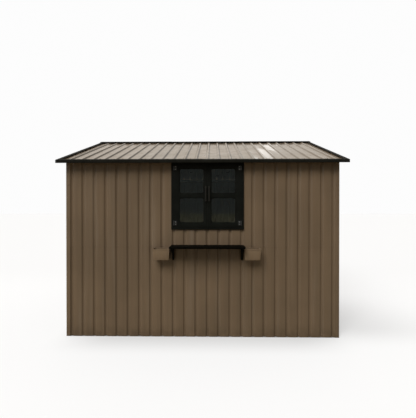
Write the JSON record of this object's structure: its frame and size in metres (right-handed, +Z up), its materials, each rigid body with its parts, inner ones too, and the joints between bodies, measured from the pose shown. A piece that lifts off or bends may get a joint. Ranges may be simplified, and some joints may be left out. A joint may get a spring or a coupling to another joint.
{
  "type": "garden shed",
  "caption": "Ribbed sheet metal garden shed with a pitched roof, a double window in the long wall, a shelf below it and hanging planters.",
  "frame": {"origin": "on the ground, midway along the ridge and midway between the shelf's front edge and the back eave", "axes": "+X along the ridge, +Y from the window wall to the back wall, +Z up"},
  "size_m": [2.9594, 2.66, 2.288],
  "materials": {
    "wall_paint": "satin brown coating on steel sheet",
    "roof_paint": "the same brown coating, slightly glossier",
    "black_paint": "satin black coating on folded steel",
    "black_plastic": "moulded, satin",
    "hinge_grey": "satin grey-blue",
    "galvanised_rail": "galvanised, dull",
    "window_glass": "clear, dark behind"
  },
  "bodies": {
    "root": {"back_base_rail": "galvanised_rail", "back_eave_trim": "black_paint", "back_left_corner_post": "wall_paint", "back_mid_rail": "galvanised_rail", "back_right_corner_post": "wall_paint", "back_roof_sheet": "roof_paint", "back_top_rail": "galvanised_rail", "back_wall_lower": "wall_paint", "back_wall_upper": "wall_paint", "front_base_rail": "galvanised_rail", "front_eave_trim": "black_paint", "front_left_corner_post": "wall_paint", "front_mid_rail": "galvanised_rail", "front_right_corner_post": "wall_paint", "front_roof_sheet": "roof_paint", "front_top_rail": "galvanised_rail", "front_wall_lower": "wall_paint", "front_wall_upper": "wall_paint", "left_base_rail": "galvanised_rail", "left_gable_trim": "black_paint", "left_gable_wall_upper": "wall_paint", "left_mid_rail": "galvanised_rail", "left_planter": "wall_paint", "left_shelf_bracket": "black_paint", "left_wall_lower": "wall_paint", "left_window_handle": "black_paint", "left_window_lower_hinge": "hinge_grey", "left_window_pane": "window_glass", "left_window_sash": "black_plastic", "left_window_upper_hinge": "hinge_grey", "ridge_beam": "galvanised_rail", "ridge_cap": "black_paint", "right_base_rail": "galvanised_rail", "right_gable_trim": "black_paint", "right_gable_wall_upper": "wall_paint", "right_mid_rail": "galvanised_rail", "right_planter": "wall_paint", "right_shelf_bracket": "black_paint", "right_wall_lower": "wall_paint", "right_window_handle": "black_paint", "right_window_lower_hinge": "hinge_grey", "right_window_pane": "window_glass", "right_window_sash": "black_plastic", "right_window_upper_hinge": "hinge_grey", "window_frame": "black_plastic", "window_shelf": "black_plastic"}
  },
  "joints": []
}
